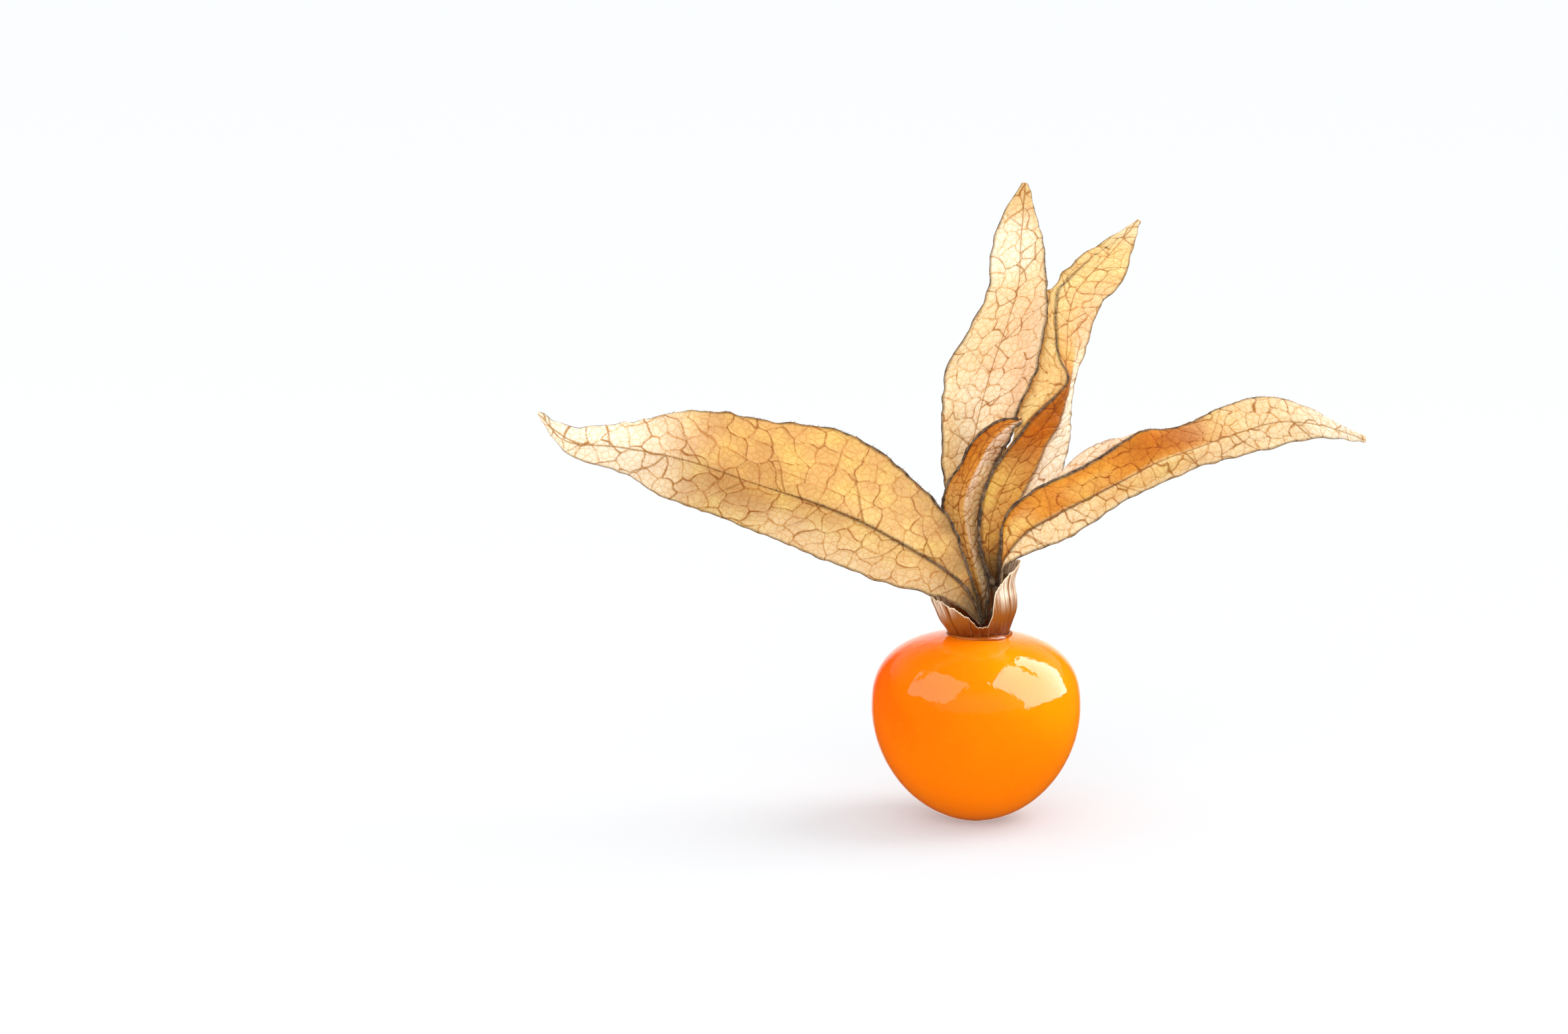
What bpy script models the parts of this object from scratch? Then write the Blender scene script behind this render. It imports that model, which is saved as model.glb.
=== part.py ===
"""A physalis berry (cape gooseberry) as picked: a round fruit standing on a small flat, with its papery husk
torn open into lobes that fold back and up around the cut stem.

The file is in metres with +Z up. The origin is the middle of the flat that the fruit rests on, +X runs along the
husk's longest spread and -Y is the front. The shapes below are written in millimetres and scaled by MM.
"""

import math

import bmesh
import bpy
import numpy as np

MM = 0.001

# Fruit: an ovoid of two half superellipses, cut flat where it rests.
BERRY_RADIUS = 9.95
BERRY_WIDEST_Z = 10.7
BERRY_UPPER_HEIGHT = 7.1
BERRY_UPPER_POWER = 2.6
BERRY_LOWER_HEIGHT = 10.8
BERRY_LOWER_POWER = 1.9
REST_RADIUS = 1.9
BERRY_RINGS = 13
BERRY_SEGMENTS = 48

# Collar: the swollen foot of the husk, a small cup that sits on the fruit around the stem.
# Its rings from foot to rim, as height, how far the middle is to the side, and radius.
COLLAR_RINGS = (
    (18.0, 0.2, 2.85),
    (19.0, 0.0, 3.35),
    (20.2, -0.1, 3.85),
    (21.2, -0.3, 4.05),
    (22.7, -0.3, 3.85),
    (24.8, -0.3, 4.45),
)
COLLAR_WALL = 0.45
COLLAR_FLOOR = 0.6
COLLAR_STEPS_UP = 8
COLLAR_SEGMENTS = 48
# Height of the cup's rim at angles measured from +X; the torn notch is the low point at the front.
COLLAR_RIM = (
    (-82, 19.0),
    (-68, 19.8),
    (-60, 21.9),
    (-40, 23.3),
    (-15, 24.0),
    (20, 24.0),
    (60, 23.4),
    (110, 22.4),
    (180, 21.2),
    (232, 20.6),
    (255, 19.6),
)

# Stem: a thin stalk that rises between the lobes and ends in a clean cut.
STEM_RADIUS = 0.65
STEM_PATH = ((0.3, 0.5, 19.0), (0.2, 0.7, 22.4), (-0.2, 1.1, 25.5), (-0.2, 1.3, 32.0))
STEM_POINTS = 12

# Husk lobes: each is a thin sheet through cross-sections, listed from the collar to the tip.
HUSK_THICKNESS = 0.35
STEPS_ALONG = 26
STEPS_ACROSS = 8

# Upper edge, midrib and lower edge.
LEFT_LOBE = (
    ((0.3, -1.9, 19.2), (0.3, -2.2, 19.1), (0.3, -2.6, 19.0)),
    ((0.0, -1.4, 21.5), (-0.3, -2.2, 21.1), (-0.8, -2.9, 20.2)),
    ((-1.1, -1.5, 23.9), (-1.4, -2.3, 22.6), (-2.3, -3.2, 21.2)),
    ((-1.8, -1.6, 27.1), (-3.3, -3.2, 24.5), (-4.3, -4.0, 22.2)),
    ((-3.7, -1.6, 30.1), (-6.6, -4.6, 26.7), (-8.6, -4.4, 23.3)),
    ((-7.6, -2.0, 34.0), (-10.7, -5.8, 29.2), (-13.0, -5.0, 25.2)),
    ((-12.5, -2.8, 37.2), (-15.4, -6.8, 31.3), (-17.9, -5.6, 27.2)),
    ((-19.9, -4.0, 38.7), (-21.3, -7.6, 33.4), (-23.3, -6.2, 29.7)),
    ((-26.4, -5.2, 39.7), (-26.9, -7.8, 35.4), (-28.2, -6.4, 31.4)),
    ((-32.5, -6.2, 38.8), (-32.9, -7.4, 36.6), (-33.0, -6.2, 33.9)),
    ((-37.9, -6.2, 38.4), (-38.2, -6.5, 37.4), (-38.6, -5.6, 36.2)),
    ((-40.8, -5.0, 39.6), (-40.8, -5.0, 39.4), (-40.7, -5.0, 39.1)),
)

# Left edge, midrib and right edge.
TALL_LOBE = (
    ((-0.8, 0.9, 20.8), (-0.2, 1.7, 20.7), (0.7, 2.1, 20.7)),
    ((-1.7, 1.6, 24.4), (-0.2, 2.8, 24.3), (1.2, 2.8, 24.5)),
    ((-2.7, 1.8, 28.9), (-0.6, 3.6, 28.8), (1.6, 3.0, 29.2)),
    ((-3.2, 2.0, 33.9), (-0.5, 4.2, 33.8), (2.6, 2.4, 34.4)),
    ((-3.3, 2.3, 38.5), (0.4, 4.5, 38.3), (3.8, 1.7, 38.7)),
    ((-2.6, 3.2, 42.9), (1.6, 5.0, 42.6), (5.7, 2.4, 43.1)),
    ((-0.6, 4.3, 46.2), (3.0, 5.7, 46.5), (6.5, 3.8, 47.2)),
    ((1.0, 5.5, 49.3), (4.0, 6.4, 49.9), (6.5, 5.0, 50.4)),
    ((1.4, 6.9, 52.8), (4.2, 7.4, 53.3), (6.4, 6.7, 53.4)),
    ((2.5, 8.3, 56.3), (4.5, 8.6, 56.5), (5.6, 8.3, 56.5)),
    ((4.5, 9.6, 59.3), (4.7, 9.6, 59.3), (5.0, 9.6, 59.2)),
)

# Left edge, crown of the pleat and right edge.
MIDDLE_PLEAT = (
    ((0.2, -0.9, 19.3), (0.5, -1.2, 19.2), (0.8, -0.8, 19.3)),
    ((-0.6, -0.3, 21.7), (0.3, -0.8, 21.8), (1.0, -0.5, 22.0)),
    ((-1.8, 0.4, 24.4), (-0.5, -0.8, 24.5), (0.8, 0.2, 24.4)),
    ((-2.8, 0.6, 27.1), (-1.2, -0.9, 27.5), (0.3, 0.2, 27.1)),
    ((-3.2, 0.6, 30.0), (-1.6, -1.0, 30.4), (0.4, 0.2, 29.8)),
    ((-2.6, 0.5, 32.2), (-0.9, -1.0, 32.7), (1.0, 0.4, 32.2)),
    ((-1.7, 0.4, 33.7), (-0.1, -0.9, 34.3), (1.6, 0.6, 33.8)),
    ((-0.2, 0.3, 36.2), (1.0, -0.7, 36.2), (2.45, 0.7, 35.2)),
    ((1.4, 0.3, 37.6), (2.1, -0.4, 37.2), (3.15, 0.5, 36.5)),
    ((2.9, 0.4, 38.1), (3.2, 0.1, 37.8), (3.4, 0.3, 37.3)),
    ((4.0, 0.4, 38.1), (4.1, 0.4, 38.1), (4.2, 0.4, 38.0)),
)

# Edge of the half folded behind, fold rib, middle rib and right edge.
UPRIGHT_LOBE = (
    ((1.3, 0.4, 22.5), (1.6, -0.5, 22.4), (2.0, -0.1, 22.3), (2.4, 0.8, 22.4)),
    ((1.6, 0.5, 24.9), (0.5, -0.8, 25.1), (2.0, -0.3, 24.8), (2.9, 1.2, 24.4)),
    ((1.5, 0.8, 27.3), (0.2, -0.8, 27.7), (2.4, 0.0, 27.5), (4.2, 2.2, 26.9)),
    ((1.9, 1.2, 30.8), (0.6, -0.7, 31.4), (4.1, 0.4, 30.5), (6.7, 2.8, 30.1)),
    ((3.0, 1.8, 33.5), (1.7, -0.5, 33.8), (5.2, 0.7, 32.7), (8.1, 3.0, 32.9)),
    ((3.6, 2.4, 35.7), (3.2, -0.3, 35.7), (6.5, 0.9, 35.7), (8.8, 3.0, 35.5)),
    ((3.4, 3.0, 38.3), (5.5, 0.2, 38.5), (7.6, 1.1, 37.7), (8.8, 2.8, 37.9)),
    ((4.0, 3.5, 40.5), (7.6, 0.5, 40.6), (8.4, 1.4, 39.8), (8.9, 2.6, 39.7)),
    ((4.6, 3.7, 42.4), (8.4, 1.0, 41.8), (8.9, 1.8, 41.5), (9.4, 2.7, 41.3)),
    ((5.6, 4.2, 44.5), (7.6, 1.7, 43.7), (9.1, 2.4, 43.1), (10.0, 3.2, 43.4)),
    ((6.1, 5.5, 46.9), (7.4, 2.7, 46.2), (9.5, 3.5, 45.6), (10.6, 4.0, 45.5)),
    ((6.4, 6.2, 49.5), (7.4, 3.5, 48.2), (10.1, 4.3, 47.6), (11.4, 4.7, 47.6)),
    ((7.1, 5.2, 49.7), (7.6, 4.2, 49.6), (10.7, 4.8, 48.7), (12.0, 5.1, 48.6)),
    ((8.0, 5.2, 51.1), (8.7, 5.2, 50.7), (11.6, 5.5, 50.1), (13.4, 5.7, 49.9)),
    ((9.9, 6.2, 52.8), (10.8, 6.3, 52.5), (13.1, 6.3, 51.9), (14.3, 6.4, 51.5)),
    ((12.4, 7.2, 54.2), (13.2, 7.2, 54.1), (14.2, 7.3, 53.9), (14.9, 7.4, 53.5)),
    ((15.2, 8.4, 55.8), (15.3, 8.4, 55.9), (15.4, 8.4, 55.9), (15.6, 8.4, 55.8)),
)

# Edge of the half folded behind, fold rib, midrib and lower edge.
RIGHT_LOBE = (
    ((1.4, -1.0, 20.0), (1.4, -1.5, 19.9), (1.4, -1.9, 19.7), (1.5, -2.3, 19.4)),
    ((2.5, -0.4, 21.6), (2.3, -0.9, 21.5), (2.2, -1.4, 21.2), (1.8, -1.9, 20.9)),
    ((2.7, -0.8, 24.7), (2.3, -1.4, 24.9), (2.3, -2.0, 24.6), (2.3, -2.3, 24.2)),
    ((3.1, -1.0, 28.4), (2.5, -1.7, 28.9), (4.1, -3.0, 27.6), (4.9, -3.3, 26.1)),
    ((6.0, -0.9, 31.3), (5.4, -2.0, 31.7), (7.2, -3.9, 29.8), (8.1, -3.7, 27.4)),
    ((9.0, -0.6, 34.5), (8.7, -2.3, 33.4), (10.4, -4.4, 31.6), (11.1, -4.0, 29.4)),
    ((11.7, -0.6, 36.2), (12.0, -2.7, 35.4), (13.7, -4.8, 33.4), (14.3, -4.2, 31.7)),
    ((14.9, -1.4, 36.6), (14.8, -3.1, 37.3), (16.6, -5.1, 35.0), (17.2, -4.4, 33.0)),
    ((18.6, -2.0, 36.9), (18.6, -3.4, 37.8), (20.0, -5.3, 36.3), (20.5, -4.7, 34.4)),
    ((22.5, -2.6, 38.6), (22.4, -3.8, 39.9), (23.7, -5.4, 37.7), (24.2, -4.9, 35.4)),
    ((26.7, -3.1, 39.6), (26.6, -4.2, 40.9), (27.5, -5.3, 38.7), (28.0, -4.9, 36.5)),
    ((30.2, -3.8, 38.8), (30.1, -4.6, 39.9), (30.7, -5.2, 38.5), (31.1, -5.0, 37.1)),
    ((35.5, -4.8, 37.3), (35.6, -5.0, 37.2), (35.6, -5.1, 37.0), (35.6, -5.0, 36.7)),
)

ORANGE = (0.95, 0.36, 0.02)
AMBER = (0.72, 0.36, 0.10)
PALE_STRAW = (0.88, 0.74, 0.50)
GOLDEN = (0.85, 0.58, 0.22)
TAN = (0.80, 0.62, 0.36)
BROWN = (0.42, 0.29, 0.15)


def clear_scene():
    for old in list(bpy.data.objects):
        bpy.data.objects.remove(old, do_unlink=True)


def surface(name, colour, roughness):
    """A material with one colour and no metal in it."""
    made = bpy.data.materials.new(name)
    made.use_nodes = True
    shader = made.node_tree.nodes["Principled BSDF"]
    shader.inputs["Base Color"].default_value = (*colour, 1.0)
    shader.inputs["Roughness"].default_value = roughness
    shader.inputs["Metallic"].default_value = 0.0
    return made


def add_mesh(name, mesh, material):
    """An object in the scene from a finished bmesh, with its faces turned outwards."""
    bmesh.ops.recalc_face_normals(mesh, faces=mesh.faces)
    data = bpy.data.meshes.new(name)
    mesh.to_mesh(data)
    mesh.free()
    data.materials.append(material)
    data.shade_smooth()
    made = bpy.data.objects.new(name, data)
    bpy.context.scene.collection.objects.link(made)
    return made


def smooth_curve(knots, points, count):
    """Points at `count` even steps of a smooth curve that passes each point at its knot."""
    knots = np.asarray(knots, float)
    points = np.asarray(points, float)
    slopes = np.gradient(points, knots, axis=0)
    steps = np.linspace(knots[0], knots[-1], count)
    span = np.clip(np.searchsorted(knots, steps, side="right") - 1, 0, len(knots) - 2)
    width = knots[span + 1] - knots[span]
    t = ((steps - knots[span]) / width)[:, None]
    width = width[:, None]
    return (
        (1 + 2 * t) * (1 - t) ** 2 * points[span]
        + t * (1 - t) ** 2 * width * slopes[span]
        + t**2 * (3 - 2 * t) * points[span + 1]
        + t**2 * (t - 1) * width * slopes[span + 1]
    )


def travelled(points):
    """Distance along a chain of points at each of them."""
    steps = np.linalg.norm(np.diff(points, axis=0), axis=1)
    return np.concatenate([[0.0], np.cumsum(steps)])


def superellipse_height(radius, power):
    """Height share, from 1 on the axis to 0 at the widest ring, at a share of the full radius."""
    return (1 - radius**power) ** (1 / power)


def berry_profile():
    """Radius and height down the fruit's side, from its top on the axis to the edge of the flat."""
    rows = []
    for step in range(BERRY_RINGS + 1):
        radius = math.sin(step / BERRY_RINGS * math.pi / 2)
        height = BERRY_UPPER_HEIGHT * superellipse_height(radius, BERRY_UPPER_POWER)
        rows.append((radius * BERRY_RADIUS, BERRY_WIDEST_Z + height))
    lowest = math.asin(REST_RADIUS / BERRY_RADIUS)
    for step in range(1, BERRY_RINGS):
        angle = math.pi / 2 + (math.pi / 2 - lowest) * step / BERRY_RINGS
        radius = math.sin(angle)
        height = BERRY_LOWER_HEIGHT * superellipse_height(radius, BERRY_LOWER_POWER)
        rows.append((radius * BERRY_RADIUS, BERRY_WIDEST_Z - height))
    rows.append((REST_RADIUS, 0.0))
    return rows


def add_berry():
    """The fruit, turned around Z from its profile and closed by the flat that it rests on."""
    mesh = bmesh.new()
    chain = [mesh.verts.new((r * MM, 0, z * MM)) for r, z in berry_profile() + [(0.0, 0.0)]]
    edges = [mesh.edges.new(pair) for pair in zip(chain, chain[1:])]
    bmesh.ops.spin(
        mesh,
        geom=chain + edges,
        cent=(0, 0, 0),
        axis=(0, 0, 1),
        angle=math.tau,
        steps=BERRY_SEGMENTS,
    )
    bmesh.ops.remove_doubles(mesh, verts=mesh.verts, dist=0.01 * MM)
    return add_mesh("berry", mesh, surface("berry skin", ORANGE, 0.18))


def collar_rim_height(angle):
    """Height of the cup's rim at an angle in degrees, smooth all the way round."""
    angles = [a for a, _ in COLLAR_RIM]
    heights = [z for _, z in COLLAR_RIM]
    around = angles[-2:] + angles + angles[:2]
    turns = [-360, -360] + [0] * len(angles) + [360, 360]
    knots = [a + turn for a, turn in zip(around, turns)]
    levels = heights[-2:] + heights + heights[:2]
    table = smooth_curve(knots, [(z,) for z in levels], 400)[:, 0]
    return float(np.interp(angle, np.linspace(knots[0], knots[-1], 400), table))


def collar_ring(mesh, share, inset):
    """One ring of the cup at a share of the way from its foot to its rim, moved in by the wall's thickness."""
    levels = [height for height, _, _ in COLLAR_RINGS]
    middles = [middle for _, middle, _ in COLLAR_RINGS]
    radii = [radius for _, _, radius in COLLAR_RINGS]
    ring = []
    for step in range(COLLAR_SEGMENTS):
        degrees = -90 + 360 * step / COLLAR_SEGMENTS
        low = levels[0] + (COLLAR_FLOOR if inset else 0)
        height = low + share * (collar_rim_height(degrees) - low)
        radius = float(np.interp(height, levels, radii)) - inset
        middle = float(np.interp(height, levels, middles))
        angle = math.radians(degrees)
        place = (middle + radius * math.cos(angle), radius * math.sin(angle), height)
        ring.append(mesh.verts.new([c * MM for c in place]))
    return ring


def skin_rings(mesh, rings):
    """Faces between each ring and the next, with the first and last rings filled in."""
    for low, high in zip(rings, rings[1:]):
        for i, corner in enumerate(low):
            j = (i + 1) % len(low)
            mesh.faces.new((corner, low[j], high[j], high[i]))
    mesh.faces.new(rings[0])
    mesh.faces.new(rings[-1])


def add_collar():
    """The cup at the husk's foot, with a rim that is torn down at the front."""
    mesh = bmesh.new()
    shares = [step / COLLAR_STEPS_UP for step in range(COLLAR_STEPS_UP + 1)]
    outside = [collar_ring(mesh, share, 0.0) for share in shares]
    inside = [collar_ring(mesh, share, COLLAR_WALL) for share in reversed(shares)]
    skin_rings(mesh, outside + inside)
    return add_mesh("calyx_collar", mesh, surface("collar flesh", AMBER, 0.35))


def add_stem():
    """The stalk, a bevelled curve with flat ends."""
    path = np.array(STEM_PATH)
    curve = bpy.data.curves.new("stem", "CURVE")
    curve.dimensions = "3D"
    curve.bevel_depth = STEM_RADIUS * MM
    curve.bevel_resolution = 3
    curve.use_fill_caps = True
    spline = curve.splines.new("POLY")
    spline.points.add(STEM_POINTS - 1)
    for point, place in zip(spline.points, smooth_curve(travelled(path), path, STEM_POINTS)):
        point.co = (*(place * MM), 1)
    curve.materials.append(surface("stem bark", BROWN, 0.8))
    made = bpy.data.objects.new("stem", curve)
    bpy.context.scene.collection.objects.link(made)
    return made


def sheet_points(sections):
    """A grid of points on the smooth sheet through the cross-sections."""
    sections = np.array(sections)
    along = np.mean([travelled(rail) for rail in sections.swapaxes(0, 1)], axis=0)
    rails = [smooth_curve(along, rail, STEPS_ALONG + 1) for rail in sections.swapaxes(0, 1)]
    across = np.linspace(0, 1, sections.shape[1])
    return [smooth_curve(across, row, STEPS_ACROSS + 1) for row in np.stack(rails, axis=1)]


def add_lobe(name, sections, colour):
    """A lobe of the husk: the sheet through its cross-sections, thickened on both sides."""
    mesh = bmesh.new()
    rows = [[mesh.verts.new(place * MM) for place in row] for row in sheet_points(sections)]
    for row, after in zip(rows, rows[1:]):
        for i in range(STEPS_ACROSS):
            mesh.faces.new((row[i], row[i + 1], after[i + 1], after[i]))
    made = add_mesh(name, mesh, surface(name.replace("_", " "), colour, 0.8))
    solid = made.modifiers.new("thickness", "SOLIDIFY")
    solid.thickness = HUSK_THICKNESS * MM
    solid.offset = 0
    return made


def main():
    clear_scene()
    add_berry()
    add_collar()
    add_stem()
    add_lobe("husk_lobe_left", LEFT_LOBE, TAN)
    add_lobe("husk_lobe_tall", TALL_LOBE, PALE_STRAW)
    add_lobe("husk_pleat_middle", MIDDLE_PLEAT, GOLDEN)
    add_lobe("husk_lobe_upright", UPRIGHT_LOBE, GOLDEN)
    add_lobe("husk_lobe_right", RIGHT_LOBE, AMBER)


main()
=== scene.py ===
"""The looks of the physalis berry: its fruit, husk lobes, ribs, collar, stem and hairs as fine meshes with
procedural materials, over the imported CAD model. Shapes are written in millimetres and scaled by MM."""

import math

import bpy
import numpy as np
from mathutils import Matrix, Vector


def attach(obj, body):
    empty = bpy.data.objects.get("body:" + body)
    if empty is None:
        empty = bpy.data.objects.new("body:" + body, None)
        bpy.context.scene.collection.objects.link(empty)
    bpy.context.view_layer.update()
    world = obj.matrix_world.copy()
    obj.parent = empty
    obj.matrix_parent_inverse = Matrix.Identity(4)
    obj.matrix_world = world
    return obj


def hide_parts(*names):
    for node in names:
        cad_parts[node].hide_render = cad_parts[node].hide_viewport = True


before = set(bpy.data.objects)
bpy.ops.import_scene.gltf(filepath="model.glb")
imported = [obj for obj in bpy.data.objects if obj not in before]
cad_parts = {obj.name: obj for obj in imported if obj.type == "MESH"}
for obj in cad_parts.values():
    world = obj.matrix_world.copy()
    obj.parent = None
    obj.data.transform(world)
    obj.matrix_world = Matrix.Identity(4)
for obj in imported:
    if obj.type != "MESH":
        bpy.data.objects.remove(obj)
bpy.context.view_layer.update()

MM = 0.001
RNG = np.random.default_rng(7)

# ---- camera, floor and light

# In millimetres and degrees.
CAMERA_TARGET = (-18.13, 0.0, 28.85)
CAMERA_DISTANCE = 408.5
CAMERA_ELEVATION = 10.0
CAMERA_LENS = 100.0

# The point in metres that the lights stand around.
FRUIT_MIDDLE = (0.0, 0.0, 0.012)
# The room's brightness where it lights a surface, and what gloss sees of it elsewhere and in front.
ROOM_LIGHT = 1.3
DARK_GLOSS = 0.04
FRONT_GLOSS = 0.55
# How much the table's edge, as gloss sees it, rises from the front to the back.
TABLE_SLOPE = 0.16


def add_camera():
    """A camera in front of the fruit that looks slightly down on it."""
    camera = bpy.data.cameras.new("camera")
    camera.lens = CAMERA_LENS
    camera.sensor_width = 36.0
    camera.clip_start = 0.01
    camera.clip_end = 20.0
    made = bpy.data.objects.new("camera", camera)
    bpy.context.scene.collection.objects.link(made)
    tilt = math.radians(CAMERA_ELEVATION)
    back = Vector((0.0, -math.cos(tilt), math.sin(tilt)))
    made.location = Vector(CAMERA_TARGET) * MM + back * CAMERA_DISTANCE * MM
    made.rotation_euler = (math.pi / 2 - tilt, 0.0, 0.0)
    bpy.context.scene.camera = made


def aimed(light, place, aim):
    """A lamp at a place in metres that shines towards a point."""
    made = bpy.data.objects.new(light.name, light)
    made.location = place
    made.rotation_mode = "QUATERNION"
    made.rotation_quaternion = (Vector(aim) - Vector(place)).to_track_quat("-Z", "Y")
    bpy.context.scene.collection.objects.link(made)
    return made


def add_area_light(name, place, aim, size, power, gloss_only=False):
    """A soft rectangular light at a place, turned towards a point, in metres and watts. It either lights
    surfaces or only shows in their gloss, so that the shape of a highlight is set apart from the shadows."""
    light = bpy.data.lights.new(name, "AREA")
    light.shape = "RECTANGLE"
    light.size, light.size_y = size
    light.energy = power
    made = aimed(light, place, aim)
    made.visible_glossy = gloss_only
    made.visible_diffuse = not gloss_only
    made.visible_transmission = not gloss_only


def around(azimuth, elevation, distance):
    """A place seen from the fruit at a direction in degrees: azimuth 0 is the front and 90 the right side."""
    a, e = math.radians(azimuth), math.radians(elevation)
    return (
        distance * math.cos(e) * math.sin(a),
        -distance * math.cos(e) * math.cos(a),
        FRUIT_MIDDLE[2] + distance * math.sin(e),
    )


def set_inputs(node, values):
    """Sets a node's own sockets, by name."""
    for name, value in values.items():
        node.inputs[name].default_value = value


def add_floor():
    """A wide white floor with a faint glow, so that it stays pale far from the lights."""
    bpy.ops.mesh.primitive_plane_add(size=40.0, location=(0, 0, 0))
    floor = bpy.context.object
    floor.name = "floor"
    floor.visible_glossy = False
    paper, _, shader = new_material("floor white")
    finish = {
        "Base Color": (0.39, 0.40, 0.41, 1),
        "Roughness": 0.9,
        "Specular IOR Level": 0.0,
        "Emission Color": (0.98, 0.98, 1, 1),
        "Emission Strength": 0.31,
    }
    set_inputs(shader, finish)
    floor.data.materials.append(paper)


def world_choice(tree, share, first, second):
    """A world brightness that goes from the first to the second with the share. Either may be a number."""
    node = tree.nodes.new("ShaderNodeMix")
    node.data_type = "FLOAT"
    tree.links.new(share, node.inputs[0])
    feed(tree, node.inputs[2], first)
    feed(tree, node.inputs[3], second)
    return node.outputs[0]


def add_world():
    """A white room. Gloss sees it dark, but for a pale front wall above the table's edge and a back wall."""
    world = bpy.data.worlds.new("studio")
    world.use_nodes = True
    tree = world.node_tree
    background = tree.nodes["Background"]
    coords = tree.nodes.new("ShaderNodeTexCoord")
    split = tree.nodes.new("ShaderNodeSeparateXYZ")
    tree.links.new(coords.outputs["Generated"], split.inputs[0])
    table = calculated(tree, "MULTIPLY", split.outputs["Y"], TABLE_SLOPE)
    above = ranged(tree, calculated(tree, "SUBTRACT", split.outputs["Z"], table), 0.16, 0.20)
    low = ranged(tree, split.outputs["Z"], 0.35, 0.75, 1.0, 0.0)
    right = ranged(tree, split.outputs["X"], -0.95, -0.55)
    wall = calculated(tree, "MULTIPLY", calculated(tree, "MULTIPLY", above, low), right)
    front = world_choice(tree, wall, DARK_GLOSS, FRONT_GLOSS)
    behind = ranged(tree, split.outputs["Y"], 0.87, 0.99)
    reflected = world_choice(tree, behind, front, ROOM_LIGHT)
    rays = tree.nodes.new("ShaderNodeLightPath")
    lit = world_choice(tree, rays.outputs["Is Glossy Ray"], ROOM_LIGHT, reflected)
    seen = world_choice(tree, rays.outputs["Is Camera Ray"], lit, 1.0)
    tree.links.new(seen, background.inputs["Strength"])
    background.inputs["Color"].default_value = (1, 1, 1, 1)
    bpy.context.scene.world = world
    bpy.context.scene.view_settings.view_transform = "Standard"


def add_sun(azimuth, elevation, strength, spread):
    """A very wide sun, so that the floor is as bright far away as it is near."""
    light = bpy.data.lights.new("key", "SUN")
    light.energy = strength
    light.angle = math.radians(spread)
    made = aimed(light, around(azimuth, elevation, 1.0), (0, 0, 0))
    made.visible_glossy = False


def add_lights():
    """A wide key from the right, a weak fill in front, and two windows that only show in the gloss."""
    add_sun(azimuth=108, elevation=44, strength=1.75, spread=40)
    add_area_light("front", around(-10, 30, 0.7), (0, 0, 0.03), size=(0.6, 0.5), power=1.6)
    add_area_light("right window", around(84, 37.5, 0.6), FRUIT_MIDDLE, (0.94, 0.80), 29.0, gloss_only=True)
    add_area_light("left window", around(-58, 40, 0.6), FRUIT_MIDDLE, (0.72, 0.56), 4.4, gloss_only=True)


# ---- mesh helpers


def smooth_curve(knots, points, steps):
    """Points of a smooth curve that passes each given point at its knot, at the given steps."""
    knots = np.asarray(knots, float)
    points = np.asarray(points, float)
    slopes = np.gradient(points, knots, axis=0)
    span = np.clip(np.searchsorted(knots, steps, side="right") - 1, 0, len(knots) - 2)
    width = knots[span + 1] - knots[span]
    t = ((steps - knots[span]) / width)[:, None]
    width = width[:, None]
    return (
        (1 + 2 * t) * (1 - t) ** 2 * points[span]
        + t * (1 - t) ** 2 * width * slopes[span]
        + t**2 * (3 - 2 * t) * points[span + 1]
        + t**2 * (t - 1) * width * slopes[span + 1]
    )


def travelled(points):
    """Distance along a chain of points at each of them."""
    steps = np.linalg.norm(np.diff(points, axis=0), axis=1)
    return np.concatenate([[0.0], np.cumsum(steps)])


def unit(vectors):
    return vectors / np.maximum(np.linalg.norm(vectors, axis=-1, keepdims=True), 1e-9)


def add_piece(name, points, faces, material, replaced=()):
    """A smooth-shaded mesh piece from points in millimetres and faces of three or four corners. It stands for
    the replaced CAD nodes."""
    data = bpy.data.meshes.new(name)
    data.from_pydata((points * MM).tolist(), [], faces if isinstance(faces, list) else faces.tolist())
    data.materials.append(material)
    data.shade_smooth()
    made = bpy.data.objects.new(name, data)
    bpy.context.scene.collection.objects.link(made)
    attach(made, "root")
    if replaced:
        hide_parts(*replaced)
    return made


def put_values(made, name, values):
    """Stores one number a point, such as a distance to the nearest vein, for the material."""
    layer = made.data.attributes.new(name, "FLOAT", "POINT")
    layer.data.foreach_set("value", np.asarray(values, np.float32).ravel())


def put_colours(made, name, colours):
    """Stores one colour a point for the material."""
    layer = made.data.attributes.new(name, "FLOAT_COLOR", "POINT")
    rows = np.concatenate([colours, np.ones((len(colours), 1))], axis=1)
    layer.data.foreach_set("color", rows.astype(np.float32).ravel())


def put_uv(made, places):
    """Stores a flat map of the piece, in millimetres along and across it."""
    layer = made.data.uv_layers.new(name="leaf")
    corners = np.empty(len(made.data.loops), np.int32)
    made.data.loops.foreach_get("vertex_index", corners)
    layer.uv.foreach_set("vector", places[corners].astype(np.float32).ravel())


def grid_faces(rows, columns, wrap=False, flip=False, closed=False):
    """Faces between neighbouring points of a grid, listed row by row. With wrap the last column meets the
    first one, and with closed the last row does."""
    index = np.arange(rows * columns).reshape(rows, columns)
    if closed:
        index = np.concatenate([index, index[:1]])
    right = np.roll(index, -1, axis=1) if wrap else index[:, 1:]
    left = index if wrap else index[:, :-1]
    corners = (left[:-1], right[:-1], right[1:], left[1:])
    faces = np.stack([c.ravel() for c in corners], axis=1)
    return faces[:, ::-1] if flip else faces


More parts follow.
